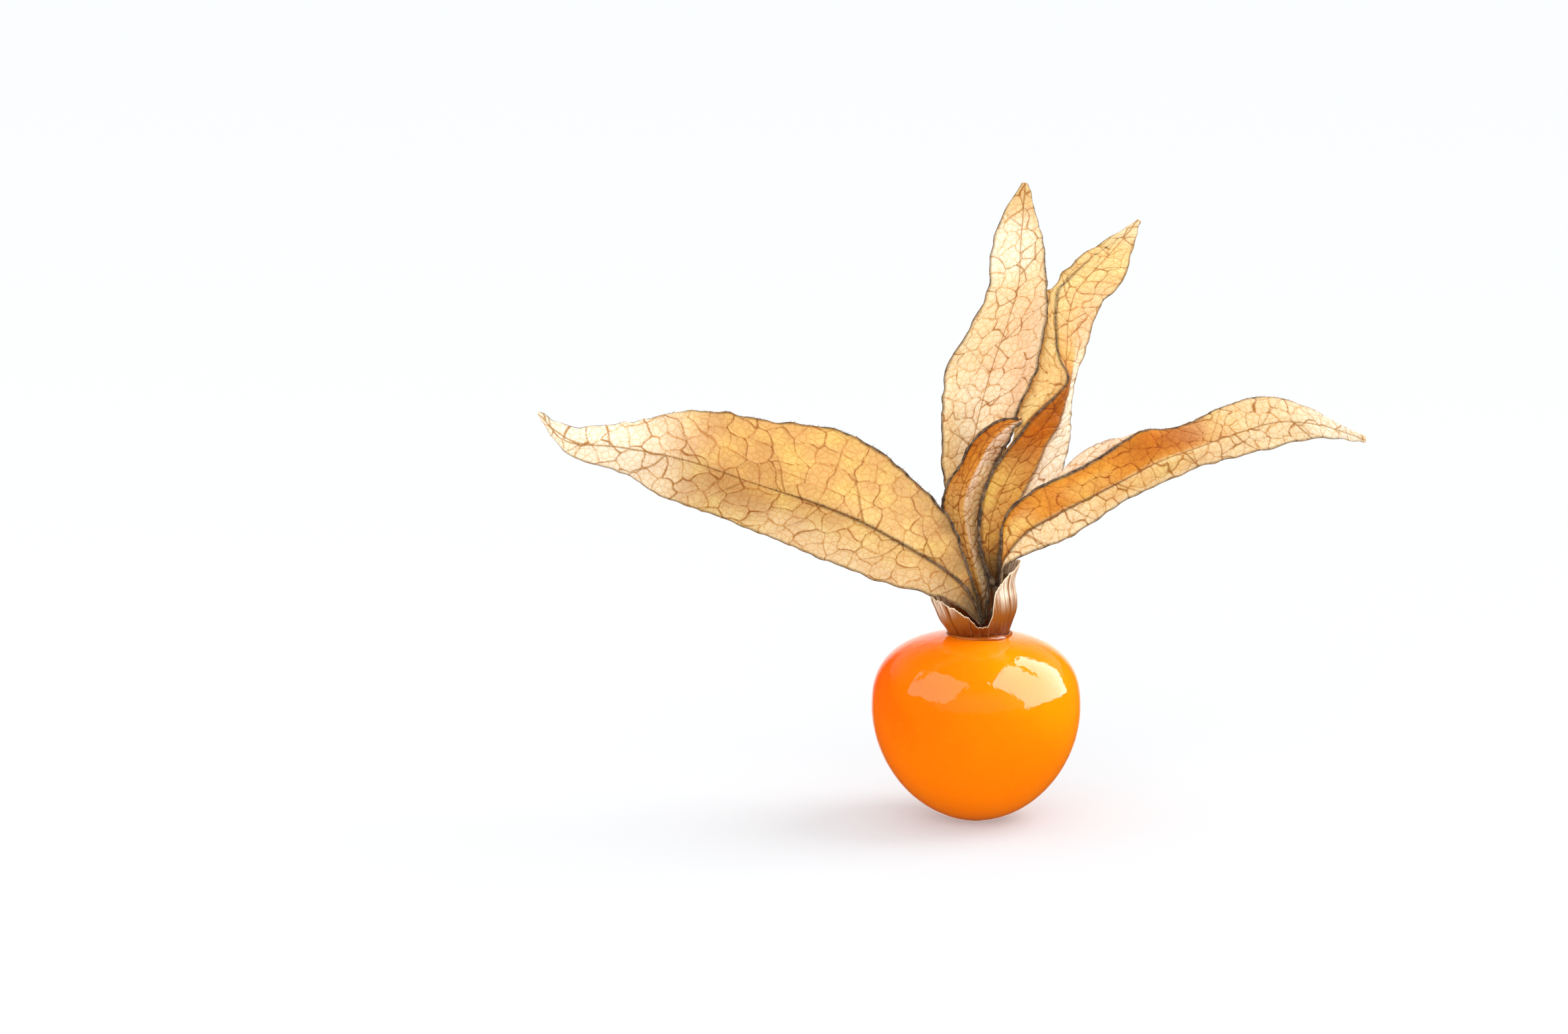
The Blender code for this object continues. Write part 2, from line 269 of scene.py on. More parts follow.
def rim_faces(rows, columns):
    """Faces that join a grid's border to the border of a second grid stored after it."""
    index = np.arange(rows * columns).reshape(rows, columns)
    loop = np.concatenate([index[0, :-1], index[:-1, -1], index[-1, :0:-1], index[:0:-1, 0]])
    after = np.roll(loop, -1)
    second = rows * columns
    return np.stack([after, loop, loop + second, after + second], axis=1)


def tube(path, radii, sides):
    """Points and faces of a closed tube along a path, with its ends filled by fans."""
    ahead = unit(np.gradient(path, axis=0))
    side = unit(np.cross(ahead, (0.12, 0.97, 0.2)))
    up = np.cross(side, ahead)
    turn = np.linspace(0, math.tau, sides, endpoint=False)
    ring = np.cos(turn)[None, :, None] * side[:, None] + np.sin(turn)[None, :, None] * up[:, None]
    points = path[:, None] + ring * np.asarray(radii).reshape(len(path), -1)[..., None]
    points = points.reshape(-1, 3)
    faces = [tuple(f) for f in grid_faces(len(path), sides, wrap=True)]
    ends = np.arange(sides), np.arange(sides) + sides * (len(path) - 1)
    centres = len(points), len(points) + 1
    for end, centre, step in zip(ends, centres, (-1, 1)):
        faces += [(centre, a, b) for a, b in zip(np.roll(end, step), end)]
    return np.concatenate([points, path[:1], path[-1:]]), faces


# ---- node helpers


def new_material(name):
    made = bpy.data.materials.new(name)
    made.use_nodes = True
    return made, made.node_tree, made.node_tree.nodes["Principled BSDF"]


def attribute(tree, name, output="Fac"):
    """What put_values or put_colours has stored under the name."""
    node = tree.nodes.new("ShaderNodeAttribute")
    node.attribute_name = name
    return node.outputs[output]


def noise(tree, coords, scale, detail=3.0, roughness=0.5):
    """The grey output of a cloudy noise."""
    node = tree.nodes.new("ShaderNodeTexNoise")
    set_inputs(node, {"Scale": scale, "Detail": detail, "Roughness": roughness})
    tree.links.new(coords, node.inputs["Vector"])
    return node.outputs["Fac"]


def ranged(tree, value, low, high, out_low=0.0, out_high=1.0):
    """The value stretched from low..high to out_low..out_high and clamped there."""
    node = tree.nodes.new("ShaderNodeMapRange")
    node.interpolation_type = "SMOOTHSTEP"
    tree.links.new(value, node.inputs["Value"])
    set_inputs(node, {"From Min": low, "From Max": high, "To Min": out_low, "To Max": out_high})
    return node.outputs["Result"]


def feed(tree, socket, value):
    """Gives a socket a number, a linear colour or another socket's output."""
    if isinstance(value, (int, float)):
        socket.default_value = value
    elif isinstance(value, tuple):
        socket.default_value = (*value, 1.0)
    else:
        tree.links.new(value, socket)


def calculated(tree, operation, first, second):
    """Plain arithmetic on two values, each a socket or a number."""
    node = tree.nodes.new("ShaderNodeMath")
    node.operation = operation
    feed(tree, node.inputs[0], first)
    feed(tree, node.inputs[1], second)
    return node.outputs["Value"]


def mixed(tree, share, first, second, blend="MIX"):
    """A colour between two, or the first changed by the second. Each is a socket or a linear colour."""
    node = tree.nodes.new("ShaderNodeMix")
    node.data_type = "RGBA"
    node.blend_type = blend
    for index, value in ((0, share), (6, first), (7, second)):
        feed(tree, node.inputs[index], value)
    return node.outputs[2]


def bumped(tree, shader, height, strength, distance):
    """Gives the shader small relief from a height, and returns the normal that results."""
    node = tree.nodes.new("ShaderNodeBump")
    set_inputs(node, {"Strength": strength, "Distance": distance})
    tree.links.new(height, node.inputs["Height"])
    tree.links.new(node.outputs["Normal"], shader.inputs["Normal"])
    return node.outputs["Normal"]


# ---- fruit

BERRY_RADIUS = 9.95
BERRY_WIDEST_Z = 10.7
BERRY_UPPER_HEIGHT = 7.1
BERRY_UPPER_POWER = 2.6
BERRY_LOWER_POWER = 1.9
REST_RADIUS = 1.9
# How far from the flat's edge the skin's slow lumps reach their full height.
LUMPS_FADE = 6.0
BERRY_RINGS = 90
BERRY_SEGMENTS = 220


def berry_profile():
    """Radius and height down the fruit's side, from near the axis on top to the edge of the flat."""
    angles = np.linspace(0.01, math.pi / 2, BERRY_RINGS)
    radius = np.sin(angles)
    top = BERRY_WIDEST_Z + BERRY_UPPER_HEIGHT * (1 - radius**BERRY_UPPER_POWER) ** (1 / BERRY_UPPER_POWER)
    lowest = math.asin(REST_RADIUS / BERRY_RADIUS)
    under = np.linspace(math.pi / 2, math.pi - lowest, BERRY_RINGS)[1:]
    low_radius = np.sin(under)
    depth = (1 - low_radius**BERRY_LOWER_POWER) ** (1 / BERRY_LOWER_POWER)
    low = BERRY_WIDEST_Z * (1 - depth / depth[-1])
    return np.concatenate([radius, low_radius]) * BERRY_RADIUS, np.concatenate([top, low])


def add_berry():
    """The fruit with the shallow lobes and flats of a real one, closed at the top and over its flat."""
    radius, height = berry_profile()
    turn = np.linspace(0, math.tau, BERRY_SEGMENTS, endpoint=False)
    rows = len(radius)
    across, up = radius[:, None], height[:, None]
    share = np.clip((across - REST_RADIUS) / LUMPS_FADE, 0, 1) * (up > 0)
    lumps = 0.055 * np.cos(3 * turn + 0.7) + 0.04 * np.cos(5 * turn + 2.1 + up * 0.12)
    wide = across + (lumps - 0.06) * share
    points = np.stack([wide * np.cos(turn), wide * np.sin(turn), np.repeat(up, BERRY_SEGMENTS, 1)], axis=-1)
    points = np.concatenate([points.reshape(-1, 3), [(0, 0, height[0]), (0, 0, 0)]])
    top, bottom = len(points) - 2, len(points) - 1
    first = np.arange(BERRY_SEGMENTS)
    last = first + (rows - 1) * BERRY_SEGMENTS
    faces = [tuple(f) for f in grid_faces(rows, BERRY_SEGMENTS, wrap=True, flip=True)]
    faces += [(top, a, b) for a, b in zip(first, np.roll(first, -1))]
    faces += [(bottom, b, a) for a, b in zip(last, np.roll(last, -1))]
    add_piece("berry_fruit", points, faces, berry_skin(), ("berry",))


def berry_skin():
    """Glossy orange skin over wet flesh, with pores, freckles and random blotches, and painted light in its
    colour: paler yellow orange towards the bottom, where the white floor lights it, darker red towards the
    top, and yellower on the right, where the key light falls.
    """
    made, tree, shader = new_material("berry skin")
    coords = tree.nodes.new("ShaderNodeTexCoord").outputs["Object"]
    slow = noise(tree, coords, 130.0, 2.0)
    split = tree.nodes.new("ShaderNodeSeparateXYZ")
    tree.links.new(coords, split.inputs[0])
    across = ranged(tree, split.outputs["X"], -0.010, 0.010)
    up = ranged(tree, split.outputs["Z"], 0.002, 0.018)
    # Painted light: the orange is paler towards the bottom, where the white floor lights the fruit, and
    # darker red towards the top.
    painted_height_light = mixed(tree, up, (1.0, 0.195, 0.001), (0.92, 0.095, 0.001))
    # Painted light: yellower towards the right and the top, where the key light falls from the right.
    right = calculated(tree, "MULTIPLY", across, calculated(tree, "ADD", up, 0.4))
    painted_key_light = mixed(tree, right, painted_height_light, (1.0, 0.28, 0.001))
    painted_light_and_blotches = mixed(tree, ranged(tree, slow, 0.35, 0.7, 0.0, 0.5), painted_key_light, (1.0, 0.205, 0.001))
    freckles = tree.nodes.new("ShaderNodeTexVoronoi")
    freckles.inputs["Scale"].default_value = 1500.0
    tree.links.new(coords, freckles.inputs["Vector"])
    spots = ranged(tree, freckles.outputs["Distance"], 0.08, 0.24, 0.22, 0.0)
    tree.links.new(mixed(tree, spots, painted_light_and_blotches, (1.0, 0.26, 0.004)), shader.inputs["Base Color"])
    pores = noise(tree, coords, 1900.0, 1.0, 0.5)
    dents = calculated(tree, "MULTIPLY", noise(tree, coords, 420.0, 2.0), 2.0)
    bumped(tree, shader, calculated(tree, "ADD", pores, dents), 0.35, 0.00006)
    finish = {
        "Roughness": 0.04,
        "IOR": 1.33,
        "Subsurface Weight": 0.5,
        "Subsurface Radius": (1.0, 0.30, 0.04),
        "Subsurface Scale": 0.0025,
    }
    set_inputs(shader, finish)
    return made


# ---- husk lobes

HUSK_THICKNESS = 0.12
# The spacing of a lobe's mesh points.
GRID_MM = 0.13
# The cells between large veins, in small cells along and across the lobe, and how far they slant to its tip.
LARGE_CELL = (2.4, 3.4)
VEIN_SLANT = 0.7
# The spacing of the side veins, in small cells.
SIDE_VEIN_SPACING = 4.2
# Where a search for the nearest vein or rib starts: further away than any is.
FAR_AWAY = 9.0

# Upper edge, midrib and lower edge, from the collar to the tip.
LEFT_LOBE = (
    ((0.3, -1.9, 19.2), (0.3, -2.2, 19.1), (0.3, -2.6, 19.0)),
    ((0.0, -1.4, 21.5), (-0.3, -2.2, 21.1), (-0.8, -2.9, 20.2)),
    ((-1.1, -1.5, 23.9), (-1.4, -2.3, 22.6), (-2.3, -3.2, 21.2)),
    ((-1.8, -1.6, 27.1), (-3.3, -3.2, 24.5), (-4.3, -4.0, 22.2)),
    ((-3.7, -1.6, 30.1), (-6.6, -4.6, 26.7), (-8.6, -4.4, 23.3)),
    ((-7.6, -2.0, 34.0), (-10.7, -5.8, 29.2), (-13.0, -5.0, 25.2)),
    ((-12.5, -2.8, 37.2), (-15.4, -6.8, 31.3), (-17.9, -5.6, 27.2)),
    ((-19.9, -4.0, 38.7), (-21.3, -7.6, 33.4), (-23.3, -6.2, 29.7)),
    ((-26.4, -5.2, 39.7), (-26.9, -7.8, 35.4), (-28.2, -6.4, 31.4)),
    ((-32.5, -6.2, 38.8), (-32.9, -7.4, 36.6), (-33.0, -6.2, 33.9)),
    ((-37.9, -6.2, 38.4), (-38.2, -6.5, 37.4), (-38.6, -5.6, 36.2)),
    ((-40.8, -5.0, 39.6), (-40.8, -5.0, 39.4), (-40.7, -5.0, 39.1)),
)

# Left edge, midrib and right edge.
TALL_LOBE = (
    ((-0.8, 0.9, 20.8), (-0.2, 1.7, 20.7), (0.7, 2.1, 20.7)),
    ((-1.7, 1.6, 24.4), (-0.2, 2.8, 24.3), (1.2, 2.8, 24.5)),
    ((-2.7, 1.8, 28.9), (-0.6, 3.6, 28.8), (1.6, 3.0, 29.2)),
    ((-3.2, 2.0, 33.9), (-0.5, 4.2, 33.8), (2.6, 2.4, 34.4)),
    ((-3.3, 2.3, 38.5), (0.4, 4.5, 38.3), (3.8, 1.7, 38.7)),
    ((-2.6, 3.2, 42.9), (1.6, 5.0, 42.6), (5.7, 2.4, 43.1)),
    ((-0.6, 4.3, 46.2), (3.0, 5.7, 46.5), (6.5, 3.8, 47.2)),
    ((1.0, 5.5, 49.3), (4.0, 6.4, 49.9), (6.5, 5.0, 50.4)),
    ((1.4, 6.9, 52.8), (4.2, 7.4, 53.3), (6.4, 6.7, 53.4)),
    ((2.5, 8.3, 56.3), (4.5, 8.6, 56.5), (5.6, 8.3, 56.5)),
    ((4.5, 9.6, 59.3), (4.7, 9.6, 59.3), (5.0, 9.6, 59.2)),
)

# Left edge, crown of the pleat and right edge.
MIDDLE_PLEAT = (
    ((0.2, -0.9, 19.3), (0.5, -1.2, 19.2), (0.8, -0.8, 19.3)),
    ((-0.6, -0.3, 21.7), (0.3, -0.8, 21.8), (1.0, -0.5, 22.0)),
    ((-1.8, 0.4, 24.4), (-0.5, -0.8, 24.5), (0.8, 0.2, 24.4)),
    ((-2.8, 0.6, 27.1), (-1.2, -0.9, 27.5), (0.3, 0.2, 27.1)),
    ((-3.2, 0.6, 30.0), (-1.6, -1.0, 30.4), (0.4, 0.2, 29.8)),
    ((-2.6, 0.5, 32.2), (-0.9, -1.0, 32.7), (1.0, 0.4, 32.2)),
    ((-1.7, 0.4, 33.7), (-0.1, -0.9, 34.3), (1.6, 0.6, 33.8)),
    ((-0.2, 0.3, 36.2), (1.0, -0.7, 36.2), (2.45, 0.7, 35.2)),
    ((1.4, 0.3, 37.6), (2.1, -0.4, 37.2), (3.15, 0.5, 36.5)),
    ((2.9, 0.4, 38.1), (3.2, 0.1, 37.8), (3.4, 0.3, 37.3)),
    ((4.0, 0.4, 38.1), (4.1, 0.4, 38.1), (4.2, 0.4, 38.0)),
)

# Edge of the half folded behind, fold rib, middle rib and right edge.
UPRIGHT_LOBE = (
    ((1.3, 0.4, 22.5), (1.6, -0.5, 22.4), (2.0, -0.1, 22.3), (2.4, 0.8, 22.4)),
    ((1.6, 0.5, 24.9), (0.5, -0.8, 25.1), (2.0, -0.3, 24.8), (2.9, 1.2, 24.4)),
    ((1.5, 0.8, 27.3), (0.2, -0.8, 27.7), (2.4, 0.0, 27.5), (4.2, 2.2, 26.9)),
    ((1.9, 1.2, 30.8), (0.6, -0.7, 31.4), (4.1, 0.4, 30.5), (6.7, 2.8, 30.1)),
    ((3.0, 1.8, 33.5), (1.7, -0.5, 33.8), (5.2, 0.7, 32.7), (8.1, 3.0, 32.9)),
    ((3.6, 2.4, 35.7), (3.2, -0.3, 35.7), (6.5, 0.9, 35.7), (8.8, 3.0, 35.5)),
    ((3.4, 3.0, 38.3), (5.5, 0.2, 38.5), (7.6, 1.1, 37.7), (8.8, 2.8, 37.9)),
    ((4.0, 3.5, 40.5), (7.6, 0.5, 40.6), (8.4, 1.4, 39.8), (8.9, 2.6, 39.7)),
    ((4.6, 3.7, 42.4), (8.4, 1.0, 41.8), (8.9, 1.8, 41.5), (9.4, 2.7, 41.3)),
    ((5.6, 4.2, 44.5), (7.6, 1.7, 43.7), (9.1, 2.4, 43.1), (10.0, 3.2, 43.4)),
    ((6.1, 5.5, 46.9), (7.4, 2.7, 46.2), (9.5, 3.5, 45.6), (10.6, 4.0, 45.5)),
    ((6.4, 6.2, 49.5), (7.4, 3.5, 48.2), (10.1, 4.3, 47.6), (11.4, 4.7, 47.6)),
    ((7.1, 5.2, 49.7), (7.6, 4.2, 49.6), (10.7, 4.8, 48.7), (12.0, 5.1, 48.6)),
    ((8.0, 5.2, 51.1), (8.7, 5.2, 50.7), (11.6, 5.5, 50.1), (13.4, 5.7, 49.9)),
    ((9.9, 6.2, 52.8), (10.8, 6.3, 52.5), (13.1, 6.3, 51.9), (14.3, 6.4, 51.5)),
    ((12.4, 7.2, 54.2), (13.2, 7.2, 54.1), (14.2, 7.3, 53.9), (14.9, 7.4, 53.5)),
    ((15.2, 8.4, 55.8), (15.3, 8.4, 55.9), (15.4, 8.4, 55.9), (15.6, 8.4, 55.8)),
)

# Edge of the half folded behind, fold rib, midrib and lower edge.
RIGHT_LOBE = (
    ((1.4, -1.0, 20.0), (1.4, -1.5, 19.9), (1.4, -1.9, 19.7), (1.5, -2.3, 19.4)),
    ((2.5, -0.4, 21.6), (2.3, -0.9, 21.5), (2.2, -1.4, 21.2), (1.8, -1.9, 20.9)),
    ((2.7, -0.8, 24.7), (2.3, -1.4, 24.9), (2.3, -2.0, 24.6), (2.3, -2.3, 24.2)),
    ((3.1, -1.0, 28.4), (2.5, -1.7, 28.9), (4.1, -3.0, 27.6), (4.9, -3.3, 26.1)),
    ((6.0, -0.9, 31.3), (5.4, -2.0, 31.7), (7.2, -3.9, 29.8), (8.1, -3.7, 27.4)),
    ((9.0, -0.6, 34.5), (8.7, -2.3, 33.4), (10.4, -4.4, 31.6), (11.1, -4.0, 29.4)),
    ((11.7, -0.6, 36.2), (12.0, -2.7, 35.4), (13.7, -4.8, 33.4), (14.3, -4.2, 31.7)),
    ((14.9, -1.4, 36.6), (14.8, -3.1, 37.3), (16.6, -5.1, 35.0), (17.2, -4.4, 33.0)),
    ((18.6, -2.0, 36.9), (18.6, -3.4, 37.8), (20.0, -5.3, 36.3), (20.5, -4.7, 34.4)),
    ((22.5, -2.6, 38.6), (22.4, -3.8, 39.9), (23.7, -5.4, 37.7), (24.2, -4.9, 35.4)),
    ((26.7, -3.1, 39.6), (26.6, -4.2, 40.9), (27.5, -5.3, 38.7), (28.0, -4.9, 36.5)),
    ((30.2, -3.8, 38.8), (30.1, -4.6, 39.9), (30.7, -5.2, 38.5), (31.1, -5.0, 37.1)),
    ((35.5, -4.8, 37.3), (35.6, -5.0, 37.2), (35.6, -5.1, 37.0), (35.6, -5.0, 36.7)),
)


def sheet_points(sections, rows, columns):
    """A grid of points on the smooth sheet through the cross-sections."""
    sections = np.array(sections)
    along = np.mean([travelled(rail) for rail in sections.swapaxes(0, 1)], axis=0)
    steps = np.linspace(0, along[-1], rows)
    rails = [smooth_curve(along, rail, steps) for rail in sections.swapaxes(0, 1)]
    across = np.linspace(0, 1, sections.shape[1])
    spread = np.linspace(0, 1, columns)
    return np.array([smooth_curve(across, row, spread) for row in np.stack(rails, axis=1)])


def sheet_normals(grid):
    """Unit normals of a grid of points."""
    return unit(np.cross(np.gradient(grid, axis=1), np.gradient(grid, axis=0)))


def wobble(places, wavelength, seed):
    """A smooth random height in -1..1 over flat places, from a few crossing waves."""
    random = np.random.default_rng(seed)
    total = np.zeros(places.shape[:-1])
    for _ in range(7):
        angle = random.uniform(0, math.tau)
        stretch = random.uniform(0.7, 1.5) * math.tau / wavelength
        direction = np.array([math.cos(angle), math.sin(angle)]) * stretch
        total += np.sin(places @ direction + random.uniform(0, math.tau))
    return total / 4.0


def nearest_seeds(places, seeds, low, allowed):
    """For places in cell units, the distance to the nearest seed that passes `allowed`, and its index."""
    home = np.floor(places).astype(int)
    best = np.full(places.shape[:-1], FAR_AWAY)
    index = np.zeros(places.shape, int)
    for step in np.ndindex(5, 5):
        there = np.clip(home + np.array(step) - 2 - low, 0, np.array(seeds.shape[:2]) - 1)
        away = np.linalg.norm(places - seeds[there[..., 0], there[..., 1]], axis=-1)
        closer = (away < best) & allowed(there)
        best = np.where(closer, away, best)
        index = np.where(closer[..., None], there, index)
    return best, index


def jittered_seeds(random, low, high):
    """One seed at a random place in each cell of a grid."""
    corners = np.stack(np.meshgrid(*[np.arange(a, b) for a, b in zip(low, high)], indexing="ij"), axis=-1)
    return corners + random.uniform(0.1, 0.9, corners.shape)


def vein_nets(places, seed, cell):
    """Distances in millimetres to the large veins and to the small ones. Small cells are grouped into large
    ones that slant forward from the midrib, so that the large veins follow borders of small cells."""
    random = np.random.default_rng(seed)
    swing = np.stack([wobble(places, 2.6, seed + 1), wobble(places, 2.6, seed + 2)], axis=-1)
    cells = (places + 0.3 * swing) / cell
    low = np.floor(cells.reshape(-1, 2).min(axis=0)).astype(int) - 3
    high = np.ceil(cells.reshape(-1, 2).max(axis=0)).astype(int) + 3
    seeds = jittered_seeds(random, low, high)
    grouped = seeds.copy()
    grouped[..., 0] -= VEIN_SLANT * np.abs(grouped[..., 1])
    grouped = grouped / np.array(LARGE_CELL)
    least = np.floor(grouped.reshape(-1, 2).min(axis=0)).astype(int) - 3
    most = np.ceil(grouped.reshape(-1, 2).max(axis=0)).astype(int) + 3
    groups = nearest_seeds(grouped, jittered_seeds(random, least, most), least, lambda there: True)[1]
    near, here = nearest_seeds(cells, seeds, low, lambda there: True)
    own = groups[here[..., 0], here[..., 1]]

    def other_cell(there):
        return (there != here).any(axis=-1)

    def other_group(there):
        return (groups[there[..., 0], there[..., 1]] != own).any(axis=-1)

    nets = []
    for allowed in (other_group, other_cell):
        far, there = nearest_seeds(cells, seeds, low, allowed)
        apart = seeds[there[..., 0], there[..., 1]] - seeds[here[..., 0], here[..., 1]]
        apart = np.maximum(np.linalg.norm(apart, axis=-1), 0.05)
        nets.append(np.clip((far**2 - near**2) / (2 * apart) * cell, 0, 3))
    nets[0] = np.minimum(nets[0] + 0.03, side_veins(places, seed, SIDE_VEIN_SPACING * cell))
    return nets


def side_veins(places, seed, spacing):
    """Distance to the midrib or to the nearest of the veins that leave it in turn to either side."""
    across = np.abs(places[..., 1])
    reach = places[..., 0] - 0.95 * across + 0.035 * across**2 + 0.9 * wobble(places, 9.0, seed + 3)
    turn = reach / spacing + 0.5 * (places[..., 1] > 0)
    return np.minimum(np.abs(turn - np.round(turn)) * spacing * 0.72 + 0.015 * across, across + 0.02)


def blended_tone(u, v, strips, patches):
    """The lobe's colours, some of them painted shade: strips along it, each up to a place across it, under
    soft patches.
    """
    colour = np.ones(u.shape + (3,)) * strips[0][1]
    for (end, _), (_, after) in zip(strips, strips[1:]):
        share = np.clip((v - end) / 0.05 + 0.5, 0, 1)
        colour += (np.array(after) - colour) * share[..., None]
    for centre_u, centre_v, size_u, size_v, strength, patch in patches:
        weight = np.exp(-(((u - centre_u) / size_u) ** 4) - ((v - centre_v) / size_v) ** 4) * strength
        colour += (np.array(patch) - colour) * weight[..., None]
    return colour


class Lobe:
    """A husk lobe's fine sheet, with its flat map, vein distances and relief."""

    def __init__(self, sections, midrib, seed, curl, cell):
        length = travelled(np.array(sections)[:, 1]).max()
        width = max(travelled(row).max() for row in np.array(sections))
        self.rows = int(length / GRID_MM) + 1
        self.columns = max(int(width / GRID_MM) + 1, 24)
        flat = sheet_points(sections, self.rows, self.columns)
        self.u = np.repeat(np.linspace(0, 1, self.rows)[:, None], self.columns, 1)
        self.v = np.repeat(np.linspace(0, 1, self.columns)[None], self.rows, 0)
        across = np.array([travelled(row) for row in flat])
        centre = int(round(midrib * (self.columns - 1)))
        along = travelled(flat[:, centre])
        self.places = np.stack(
            [np.repeat(along[:, None], self.columns, 1), across - across[:, centre : centre + 1]], axis=-1
        )
        self.edge = np.minimum(across, across[:, -1:] - across)
        self.vein, self.fine = vein_nets(self.places, seed, cell)
        outward = unit(np.gradient(flat, axis=1)) * np.exp(-self.edge / 0.5)[..., None]
        flat = flat + outward * 0.10 * wobble(self.places, 2.2, seed + 33)[..., None]
        normals = sheet_normals(flat)
        self.grid = flat + normals * self.relief(seed, curl)[..., None]
        self.normals = sheet_normals(self.grid)

    def relief(self, seed, curl):
        """How far the sheet stands out: slow buckles, quilting between veins and waves along the edges."""
        near_edge = np.exp(-self.edge / 1.1)
        fade = np.clip(np.minimum(self.u, 1 - self.u) / 0.08, 0, 1)
        buckle = 0.16 * wobble(self.places, 9.0, seed + 30) + 0.06 * wobble(self.places, 3.4, seed + 31)
        waves = curl * near_edge * wobble(self.places * np.array([1.0, 0.3]), 6.0, seed + 32)
        quilt = 0.11 * (1 - np.exp(-self.vein / 0.55)) + 0.045 * (1 - np.exp(-self.fine / 0.25))
        return (buckle + waves + quilt - 0.1) * fade

    def add(self, name, node, tone_and_shade, material, ribs):
        """The closed sheet as a piece that stands for its CAD node."""
        half = self.normals * HUSK_THICKNESS / 2
        points = np.concatenate([(self.grid + half).reshape(-1, 3), (self.grid - half).reshape(-1, 3)])
        front = grid_faces(self.rows, self.columns)
        back = grid_faces(self.rows, self.columns, flip=True) + self.rows * self.columns
        faces = np.concatenate([front, back, rim_faces(self.rows, self.columns)])
        made = add_piece(name, points, faces, material, replaced=(node,))
        put_uv(made, np.tile(self.places.reshape(-1, 2), (2, 1)))
        put_colours(made, "tone_and_shade", np.tile(tone_and_shade.reshape(-1, 3), (2, 1)))
        put_values(made, "vein", np.tile(self.vein.ravel(), 2))
        put_values(made, "fine_vein", np.tile(self.fine.ravel(), 2))
        put_values(made, "rib", np.tile(self.rib_distance(ribs).ravel(), 2))

    def rib_distance(self, ribs):
        """Distance across the lobe to the nearest of its ribs, which grows past the end of a rib."""
        best = np.full(self.u.shape, FAR_AWAY)
        across = self.places[..., 1]
        for rib in ribs:
            column = int(round(rib[0] * (self.columns - 1)))
            away = np.abs(across - across[:, column : column + 1]) - rib_radius(rib, self.u)
            best = np.minimum(best, away + 0.3 * np.clip((self.u - rib[3]) / 0.15, 0, 1))
        return best

    def column(self, place):
        """The sheet's points and normals along one line from the collar to the tip."""
        index = int(round(place * (self.columns - 1)))
        return self.grid[:, index], self.normals[:, index]


def rib_radius(rib, u):
    """A rib's radius along the lobe: thick at the collar, thin at its end."""
    _, thick, thin, reach = rib
    return np.where(u < reach, thick + (thin - thick) * (u / reach) ** 0.7, thin)


def cells(tree, places, scale, feature):
    """The distance output of flat random cells: to their edges, or with F1 to their centres."""
    node = tree.nodes.new("ShaderNodeTexVoronoi")
    node.voronoi_dimensions = "2D"
    node.feature = feature
    node.inputs["Scale"].default_value = scale
    tree.links.new(places, node.inputs["Vector"])
    return node.outputs["Distance"]


def shifted_places(tree, places, swing):
    """Flat places moved a little by a noise, so that cells there have crooked edges."""
    node = tree.nodes.new("ShaderNodeVectorMath")
    node.operation = "MULTIPLY_ADD"
    node.inputs[1].default_value = (0.5, 0.5, 0.0)
    tree.links.new(swing.node.outputs["Color"], node.inputs[0])
    tree.links.new(places, node.inputs[2])
    return node.outputs[0]


def let_light_through(tree, shader, colour, normal, share):
    """Mixes the shader with a translucent one of the same colour and relief."""
    through = tree.nodes.new("ShaderNodeBsdfTranslucent")
    tree.links.new(colour, through.inputs["Color"])
    tree.links.new(normal, through.inputs["Normal"])
    blend = tree.nodes.new("ShaderNodeMixShader")
    blend.inputs["Fac"].default_value = share
    tree.links.new(shader.outputs["BSDF"], blend.inputs[1])
    tree.links.new(through.outputs["BSDF"], blend.inputs[2])
    tree.links.new(blend.outputs["Shader"], tree.nodes["Material Output"].inputs["Surface"])


